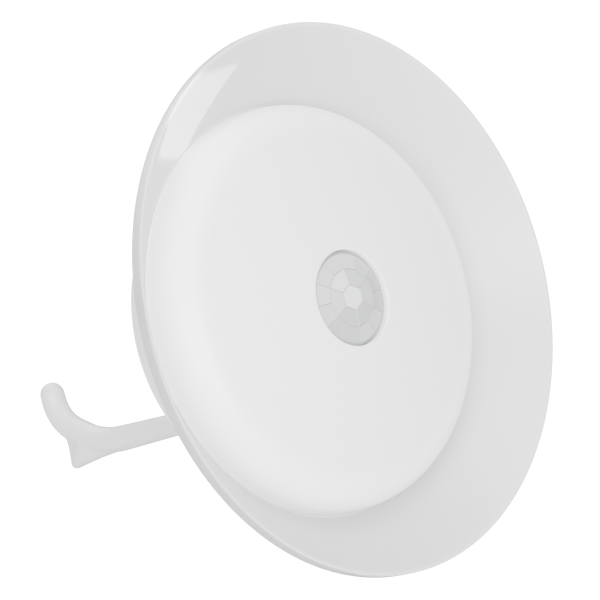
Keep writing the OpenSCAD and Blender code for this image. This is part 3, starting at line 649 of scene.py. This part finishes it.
class NIGHTLIGHT_OT_lens(Operator):
    """Dome lens with a six-sided middle facet and two rings of facets round it"""

    bl_idname = "night_light.lens"
    bl_label = "Sensor lens"

    def execute(self, context):
        size = context.scene.night_light_bowl
        finishes = context.scene.night_light_finishes
        middle_r = 2.9 * MM
        ring_r = 6.4 * MM
        border = 0.45 * MM
        groove = 0.16 * MM
        groove_depth = 0.9 * groove
        flange_t = 1 * MM
        dome_z = -cap_dome_depth(size)
        hole_r = size.lens_r + size.lens_gap
        face_z = dome_z + math.sqrt(size.cap_dome_r ** 2 - hole_r ** 2)
        edge_z = face_z - size.lens_recess
        sphere_r = (size.lens_r ** 2 + size.lens_rise ** 2) / (2 * size.lens_rise)

        bm = bmesh.new()
        shade = bm.faces.layers.float.new("shade")
        bmesh.ops.create_circle(bm, cap_ends=True, segments=6, radius=middle_r)
        for radius, cuts in ((ring_r, 1), (size.lens_r - border, 3), (size.lens_r, 0)):
            spread = bmesh.ops.extrude_edge_only(bm, edges=open_edges(bm))["geom"]
            for vert in only_verts(spread):
                vert.co *= radius / vert.co.length
            if cuts:
                bmesh.ops.subdivide_edges(bm, edges=open_edges(bm), cuts=cuts)
            for vert in {vert for edge in open_edges(bm) for vert in edge.verts}:
                vert.co *= radius / vert.co.length
        for vert in bm.verts:
            r = min(math.hypot(vert.co.x, vert.co.y), size.lens_r)
            vert.co.z = edge_z + size.lens_rise - sphere_r + math.sqrt(sphere_r ** 2 - r * r)
        rim = open_edges(bm)
        outermost = {face for edge in rim for face in edge.link_faces}
        facets = [face for face in bm.faces if face not in outermost]
        # Painted light and shade on each facet
        for face in facets:
            face[shade] = facet_shade(face.calc_center_median(), middle_r, ring_r)
        grooves = bmesh.ops.inset_individual(bm, faces=facets, thickness=groove, depth=groove_depth)["faces"]
        # Painted shade in the grooves between facets, and on the border where the hole's wall shades it
        for face in grooves:
            face[shade] = GROOVE_PAINTED_SHADE
        for face in outermost:
            face[shade] = BORDER_PAINTED_SHADE
        for step_r, step_z in (
            (size.lens_r, -size.flange_depth),
            (size.lens_r + size.lens_flange, -size.flange_depth),
            (size.lens_r + size.lens_flange, -size.flange_depth - flange_t),
        ):
            moved = bmesh.ops.extrude_edge_only(bm, edges=rim)["geom"]
            rim = only_edges(moved)
            for vert in only_verts(moved):
                out = Vector((vert.co.x, vert.co.y)).normalized() * step_r
                vert.co = (out.x, out.y, step_z)
        # Painted shade on the lens's sides and flange
        for face in bm.faces:
            face[shade] = face[shade] or SIDE_PAINTED_SHADE
        bmesh.ops.recalc_face_normals(bm, faces=bm.faces)
        if facets[0].normal.z < 0:
            bmesh.ops.reverse_faces(bm, faces=bm.faces)
        bmesh.ops.solidify(bm, geom=bm.faces, thickness=size.lens_t)
        bmesh.ops.transform(bm, matrix=lamp_axes(context.scene.night_light_arm), verts=bm.verts)
        material = milky(
            "milky_lens", finishes.lens, roughness=0.36, glow=0.25, grain=0.1, shade="shade", Coat_Weight=0.35,
            Coat_Roughness=0.2,
        )
        finish_piece("lens", bm, "lamp", material, ("pir_lens",), sharp=2)
        return {"FINISHED"}


# Sections of the three limbs that make the arm's foot: share of the way, half sizes across and in plane in mm
FOOT_SECTIONS = ((0.0, 2.2, 6.4), (0.2, 2.1, 5.2), (0.4, 2.0, 4.1), (0.6, 1.85, 3.0), (0.8, 1.65, 2.1))
PRONG_SECTIONS = ((0.0, 2.7, 2.7), (0.5, 1.8, 1.8), (0.97, 1.4, 1.4))
WEB_SECTIONS = ((0.0, 2.95, 4.6), (0.35, 2.75, 3.3), (0.7, 2.15, 2.2), (1.0, 1.5, 1.5))


class NIGHTLIGHT_OT_arm(Operator):
    """Hook arm: a round bar that bends up to a tip and forks down to a foot, with its hinge knuckle"""

    bl_idname = "night_light.arm"
    bl_label = "Hook arm"

    hinge_soft = 0.35 * MM

    def execute(self, context):
        size = context.scene.night_light_arm
        axes = lamp_axes(size)
        material = surface(
            "satin_white_arm", context.scene.night_light_finishes.arm, roughness=0.4, IOR=1.49, Coat_Weight=0.2,
            Coat_Roughness=0.25,
        )
        self.make_bar(size, axes, material)
        self.make_knuckle(size, axes, material)
        self.make_heel(size, axes, material)
        return {"FINISHED"}

    def make_bar(self, size, axes, material):
        """Bar with its two bends, its round tip and its foot, fused into one skin."""
        bend_steps, tip_steps, foot_steps = 14, 8, 6
        root_inset = 2 * MM
        web_share = 0.6
        voxel = 0.22 * MM

        # In the lamp's axes the bar runs back along -z; turn is the angle by which it has bent up
        back = math.pi
        bend_z = -size.hinge_depth - size.arm_l
        turn_1 = size.bend_1_angle

        def on_bend(turn):
            up = size.bend_1_r * (1 - math.cos(turn))
            return Vector((0, -size.hinge_drop + up, bend_z - size.bend_1_r * math.sin(turn)))

        end_1 = on_bend(turn_1)
        centre_2 = end_1 + size.bend_2_r * Vector((0, math.cos(turn_1), math.sin(turn_1)))
        tip = centre_2 + Vector((0, size.tip_l, -size.bend_2_r))
        root = Vector((0, -size.hinge_drop, -size.hinge_depth - root_inset))
        rings = [(root, back, size.root_r, size.root_r)]
        for step in range(bend_steps + 1):
            turn = turn_1 * step / bend_steps
            rings.append((on_bend(turn), back + turn, size.end_r, size.end_r))
        for step in range(1, bend_steps + 1):
            turn = between(turn_1, QUARTER_TURN, step / bend_steps)
            radius = between(size.end_r, size.tip_r, step / bend_steps)
            place = centre_2 + size.bend_2_r * Vector((0, -math.cos(turn), -math.sin(turn)))
            rings.append((place, back + turn, radius, radius))
        for step in range(tip_steps):
            turn = QUARTER_TURN * step / tip_steps
            radius = size.tip_r * math.cos(turn)
            place = tip + Vector((0, size.tip_r * math.sin(turn), 0))
            rings.append((place, back + QUARTER_TURN, radius, radius))
        bm = bmesh.new()
        loft(bm, rings)

        # The foot leaves the bar wide in the arm's plane; a prong and a web fill the corner in front of it
        foot = Vector((0, -size.hinge_drop - size.foot_drop, bend_z - size.foot_back))
        fork = end_1 + Vector((0, 0.6 * MM, 3.4 * MM))
        rings = straight_rings(fork, foot, FOOT_SECTIONS)
        foot_turn = rings[0][1]
        way = (foot - fork).normalized()
        for step in range(foot_steps):
            turn = QUARTER_TURN * step / foot_steps
            radius = size.foot_r * math.cos(turn)
            rings.append((foot + way * size.foot_r * math.sin(turn), foot_turn, radius, radius))
        loft(bm, rings)
        loft(bm, straight_rings(on_bend(0), foot, PRONG_SECTIONS))
        loft(bm, straight_rings(on_bend(web_share * turn_1), foot, WEB_SECTIONS))
        bmesh.ops.recalc_face_normals(bm, faces=bm.faces)
        bmesh.ops.transform(bm, matrix=axes, verts=bm.verts)
        bar = finish_piece("hook_bar", bm, "hook", material, ("hook_arm",), sharp=60)
        fuse = bar.modifiers.new("fuse", "REMESH")
        fuse.mode = "VOXEL"
        fuse.voxel_size = voxel
        fuse.use_smooth_shade = True
        soften = bar.modifiers.new("soften", "SMOOTH")
        soften.factor = 0.5
        soften.iterations = 18
        apply_modifiers(bar)
        bm = bmesh.new()
        bm.from_mesh(bar.data)
        cut_at_table(bm)
        bm.to_mesh(bar.data)
        bm.free()

    def make_knuckle(self, size, axes, material):
        """Knuckle round the hinge pin."""
        corner_steps = 5
        half = size.knuckle_w / 2
        corner_r = size.knuckle_r - self.hinge_soft
        corner_z = half - self.hinge_soft
        bm = bmesh.new()
        first = start_at(bm, size.bore_r, -half)
        vert = line_to(bm, first, corner_r, -half)
        vert = arc_by(bm, vert, corner_r, -corner_z, QUARTER_TURN, corner_steps)
        vert = line_to(bm, vert, size.knuckle_r, corner_z)
        vert = arc_by(bm, vert, corner_r, corner_z, QUARTER_TURN, corner_steps)
        vert = line_to(bm, vert, size.bore_r, half)
        close_to(bm, vert, first)
        turn_profile(bm, KNUCKLE_STEPS)
        lay_on_hinge = (
            axes @ Matrix.Translation((0, -size.hinge_drop, -size.hinge_depth))
            @ Matrix.Rotation(QUARTER_TURN, 4, "Y")
        )
        bmesh.ops.transform(bm, matrix=lay_on_hinge, verts=bm.verts)
        finish_piece("hook_knuckle", bm, "hook", material, sharp=40)

    def make_heel(self, size, axes, material):
        """Heel below the pin, which stops the arm against the back."""
        heel_drop = 0.72 * size.knuckle_r
        heel_h = 0.56 * size.knuckle_r
        start = size.bore_r + 0.4 * MM
        reach = size.hinge_depth - size.back_depth - size.stop_gap
        bm = bmesh.new()
        bmesh.ops.create_cube(bm, size=1)
        middle = (0, -size.hinge_drop - heel_drop, -size.hinge_depth + (start + reach) / 2)
        place = (
            axes @ Matrix.Translation(middle) @ Matrix.Diagonal((size.knuckle_w, heel_h, reach - start, 1))
        )
        bmesh.ops.transform(bm, matrix=place, verts=bm.verts)
        bmesh.ops.bevel(
            bm, geom=bm.edges[:], offset=self.hinge_soft, segments=3, profile=0.5, affect="EDGES", material=-1
        )
        finish_piece("hook_heel", bm, "hook", material, sharp=40)


class NIGHTLIGHT_OT_marks(Operator):
    """Small words for the three places of the slide switch, raised on the back"""

    bl_idname = "night_light.marks"
    bl_label = "Switch marks"

    def execute(self, context):
        arm = context.scene.night_light_arm
        axes = lamp_axes(arm)
        material = surface("printed_marks", context.scene.night_light_finishes.marks, roughness=0.5, bump=0.01)
        switch_drop = 26.5 * MM
        below_switch = 3.2 * MM
        letter_h = 1.7 * MM
        letter_relief = 0.06 * MM
        for word, x in (("OFF", -5.2 * MM), ("AUTO", 0), ("ON", 5.0 * MM)):
            name = f"mark_{word.lower()}"
            text = bpy.data.curves.new(name, "FONT")
            text.body = word
            text.size = letter_h
            text.align_x = "CENTER"
            text.align_y = "CENTER"
            text.extrude = letter_relief
            writing = bpy.data.objects.new(name, text)
            context.scene.collection.objects.link(writing)
            bm = bmesh.new()
            bm.from_mesh(writing.to_mesh())
            writing.to_mesh_clear()
            bpy.data.objects.remove(writing)
            bpy.data.curves.remove(text)
            place = (
                axes @ Matrix.Translation((-x, -switch_drop - below_switch, -arm.back_depth))
                @ Matrix.Rotation(math.pi, 4, "Y")
            )
            bmesh.ops.transform(bm, matrix=place, verts=bm.verts)
            finish_piece(name, bm, "lamp", material)
        return {"FINISHED"}


class NIGHTLIGHT_OT_finishes(Operator):
    """Procedural finishes of the pieces that come straight from the frame"""

    bl_idname = "night_light.finishes"
    bl_label = "Frame finishes"

    def execute(self, context):
        finishes = context.scene.night_light_finishes
        housing = surface(
            "spark_textured_white", finishes.housing, 0.5, grain=1.2, bump=0.12, grain_scale=1800, IOR=1.49
        )
        steel = surface("zinc_plated_steel", (0.55, 0.56, 0.58), 0.32, spread=0.2, drift=0.8, Metallic=1.0)
        dark = surface("matte_black_plastic", (0.035, 0.035, 0.04), 0.55, grain=0.8, bump=0.1)
        sleeve = surface("cell_sleeve", (0.12, 0.22, 0.28), 0.3, drift=0.8, Coat_Weight=0.4)
        by_node = {
            "rear_housing": housing,
            "battery_door": housing,
            "switch_knob": surface("ribbed_grey_knob", (0.45, 0.46, 0.47), 0.45, bump=0.06),
            "lens_retainer": surface("plain_white_ring", finishes.cap, 0.45),
            "pir_sensor": surface("sensor_can_metal", (0.5, 0.51, 0.52), 0.28, drift=0.85, Metallic=1.0),
            "sensor_collar": dark,
            "light_sensor": milky("clear_resin", (0.75, 0.8, 0.85), 0.1, 0.2),
            "main_board": surface("white_solder_mask", (0.75, 0.76, 0.72), 0.4, drift=0.85, wave_scale=300),
            "leds": surface("phosphor_face", (0.85, 0.75, 0.4), 0.35, drift=0.9),
            "led_resistors": dark,
            "control_chip": dark,
            "capacitors": surface("sleeved_can", (0.06, 0.09, 0.15), 0.35, drift=0.8),
            "board_screws": steel,
            "housing_screws": steel,
            "contact_springs": steel,
            "hook_pin": steel,
            "contact_plates": surface("plated_contact", (0.7, 0.58, 0.32), 0.3, drift=0.85, Metallic=1.0),
            "battery_1": sleeve,
            "battery_2": sleeve,
            "battery_3": sleeve,
            "switch_body": dark,
            "switch_wires": surface("red_insulation", (0.5, 0.06, 0.04), 0.45, drift=0.85),
            "hinge_washers": surface("nylon_washer", (0.6, 0.6, 0.57), 0.5),
        }
        for node, material in by_node.items():
            mesh = frame["nodes"][node].data
            mesh.materials.clear()
            mesh.materials.append(material)
        return {"FINISHED"}


# Softboxes: metres to the right of the rim's middle, towards the camera and up, then width, height and watts
SOFTBOXES = {
    "front_softbox": (0.42, 1.08, 0.31, 0.6, 0.75, 35),
    "left_softbox": (-0.28, 1.14, 0.25, 0.6, 0.6, 24),
    "top_softbox": (0.14, 0.28, 1.16, 1.0, 1.0, 24),
    "back_softbox": (-0.50, -0.68, 0.85, 1.0, 1.0, 24),
}

# The window's beam in the lamp's axes: corner of its patch and ends of the two sides there in millimetres,
# the direction that it comes from, and the distance of its light in metres
PATCH_CORNER, LONG_SIDE_END, SHORT_SIDE_END = (-21.5, 38.1, -17.5), (-9.8, 54.3, -4.8), (-41.9, 38.4, -3.0)
BEAM_FROM = (0.633, 0.25, 0.732)
BEAM_DISTANCE = 0.1


def lit_floor(glow):
    """Pale floor that looks lit through from below, as a studio's light table does."""
    material = surface(
        "pale_floor", (0.7, 0.7, 0.7), roughness=0.8, bump=0.0, drift=0.99, Emission_Color=(1, 1, 1, 1)
    )
    nodes, links = material.node_tree.nodes, material.node_tree.links
    path = nodes.new("ShaderNodeLightPath")
    strength = math_node(nodes, "MULTIPLY", glow)
    links.new(path.outputs["Is Camera Ray"], strength.inputs[0])
    links.new(strength.outputs[0], nodes["Principled BSDF"].inputs["Emission Strength"])
    return material


def area_light(scene, name, width, height, watts):
    """Rectangular light in the scene, still at the origin."""
    light = bpy.data.lights.new(name, "AREA")
    light.shape = "RECTANGLE"
    light.size = width
    light.size_y = height
    light.energy = watts
    lamp = bpy.data.objects.new(name, light)
    scene.collection.objects.link(lamp)
    return lamp


class NIGHTLIGHT_OT_stage(Operator):
    """Pale floor, soft studio light and the camera"""

    bl_idname = "night_light.stage"
    bl_label = "Stage"

    def execute(self, context):
        scene = context.scene
        stage = scene.night_light_stage
        axes = lamp_axes(scene.night_light_arm)
        rim = axes.translation
        a, e = stage.azimuth, stage.elevation
        level = Vector((math.sin(a), -math.cos(a), 0))
        towards = level * math.cos(e) + Vector((0, 0, math.sin(e)))
        right = Vector((math.cos(a), math.sin(a), 0))
        self.lay_floor(scene, stage.floor_glow)
        self.place_camera(scene, stage, rim, towards, right)

        world = bpy.data.worlds.new("white_studio")
        world.use_nodes = True
        background = world.node_tree.nodes["Background"]
        background.inputs["Color"].default_value = (1, 1, 1, 1)
        background.inputs["Strength"].default_value = stage.sky
        scene.world = world
        for name, (side, forward, high, width, height, watts) in SOFTBOXES.items():
            lamp = area_light(scene, name, width, height, watts)
            lamp.location = rim + right * side + level * forward + Vector((0, 0, high))
            lamp.rotation_euler = (rim - lamp.location).to_track_quat("-Z", "Y").to_euler()
        self.window_light(scene, axes, stage.window_watts)
        return {"FINISHED"}

    def lay_floor(self, scene, glow):
        """Square floor round the origin."""
        half_width = 3
        bm = bmesh.new()
        bmesh.ops.create_grid(bm, x_segments=1, y_segments=1, size=half_width)
        mesh = bpy.data.meshes.new("floor")
        bm.to_mesh(mesh)
        bm.free()
        mesh.materials.append(lit_floor(glow))
        floor = bpy.data.objects.new("floor", mesh)
        scene.collection.objects.link(floor)

    def place_camera(self, scene, stage, rim, towards, right):
        """Camera at the photograph's viewing angle."""
        up = towards.cross(right)
        data = bpy.data.cameras.new("photo_view")
        data.lens = stage.focal_mm
        data.sensor_width = 36
        data.clip_end = 20
        camera = bpy.data.objects.new("photo_view", data)
        place = rim + towards * stage.distance - right * stage.aside - up * stage.below
        camera.matrix_world = placed_axes(right, up, towards, place)
        scene.collection.objects.link(camera)
        scene.camera = camera

    def window_light(self, scene, axes, watts):
        """Narrow beam that leaves a bright corner, as from a window, on the upper left of the bowl's wall."""
        corner, long_end, short_end = (
            axes @ (Vector(place) * MM) for place in (PATCH_CORNER, LONG_SIDE_END, SHORT_SIDE_END)
        )
        shine = (axes.to_3x3() @ Vector(BEAM_FROM)).normalized()
        along = long_end - corner
        side = (along - along.dot(shine) * shine).normalized()
        top = shine.cross(side)
        width = along.dot(side)
        height = (short_end - corner).dot(top)
        lamp = area_light(scene, "window_light", width, abs(height), watts)
        lamp.data.spread = math.radians(1)
        place = corner + side * width / 2 + top * height / 2 + shine * BEAM_DISTANCE
        lamp.matrix_world = placed_axes(side, top, shine, place)


OPERATORS = (
    NIGHTLIGHT_OT_bowl,
    NIGHTLIGHT_OT_cap,
    NIGHTLIGHT_OT_lens,
    NIGHTLIGHT_OT_arm,
    NIGHTLIGHT_OT_marks,
    NIGHTLIGHT_OT_finishes,
    NIGHTLIGHT_OT_stage,
)


class NIGHTLIGHT_PT_panel(Panel):
    """Sidebar panel that lists the pieces and their sizes"""

    bl_idname = "NIGHTLIGHT_PT_panel"
    bl_label = "Night Light"
    bl_space_type = "VIEW_3D"
    bl_region_type = "UI"
    bl_category = "Night Light"

    def draw(self, context):
        layout = self.layout
        for operator in OPERATORS:
            layout.operator(operator.bl_idname)
        for group, kind in PROPERTY_GROUPS.items():
            box = layout.box()
            for name in kind.__annotations__:
                box.prop(getattr(context.scene, group), name)


def register():
    """Registers the property groups, the operators and the panel."""
    for group, kind in PROPERTY_GROUPS.items():
        bpy.utils.register_class(kind)
        setattr(bpy.types.Scene, group, PointerProperty(type=kind))
    for kind in OPERATORS + (NIGHTLIGHT_PT_panel,):
        bpy.utils.register_class(kind)


def unregister():
    """Removes what register added."""
    for kind in reversed(OPERATORS + (NIGHTLIGHT_PT_panel,)):
        bpy.utils.unregister_class(kind)
    for group, kind in PROPERTY_GROUPS.items():
        delattr(bpy.types.Scene, group)
        bpy.utils.unregister_class(kind)


def main():
    """Builds everything in order."""
    register()
    bpy.ops.night_light.bowl()
    bpy.ops.night_light.cap()
    bpy.ops.night_light.lens()
    bpy.ops.night_light.arm()
    bpy.ops.night_light.marks()
    bpy.ops.night_light.finishes()
    bpy.ops.night_light.stage()


if __name__ == "__main__":
    main()
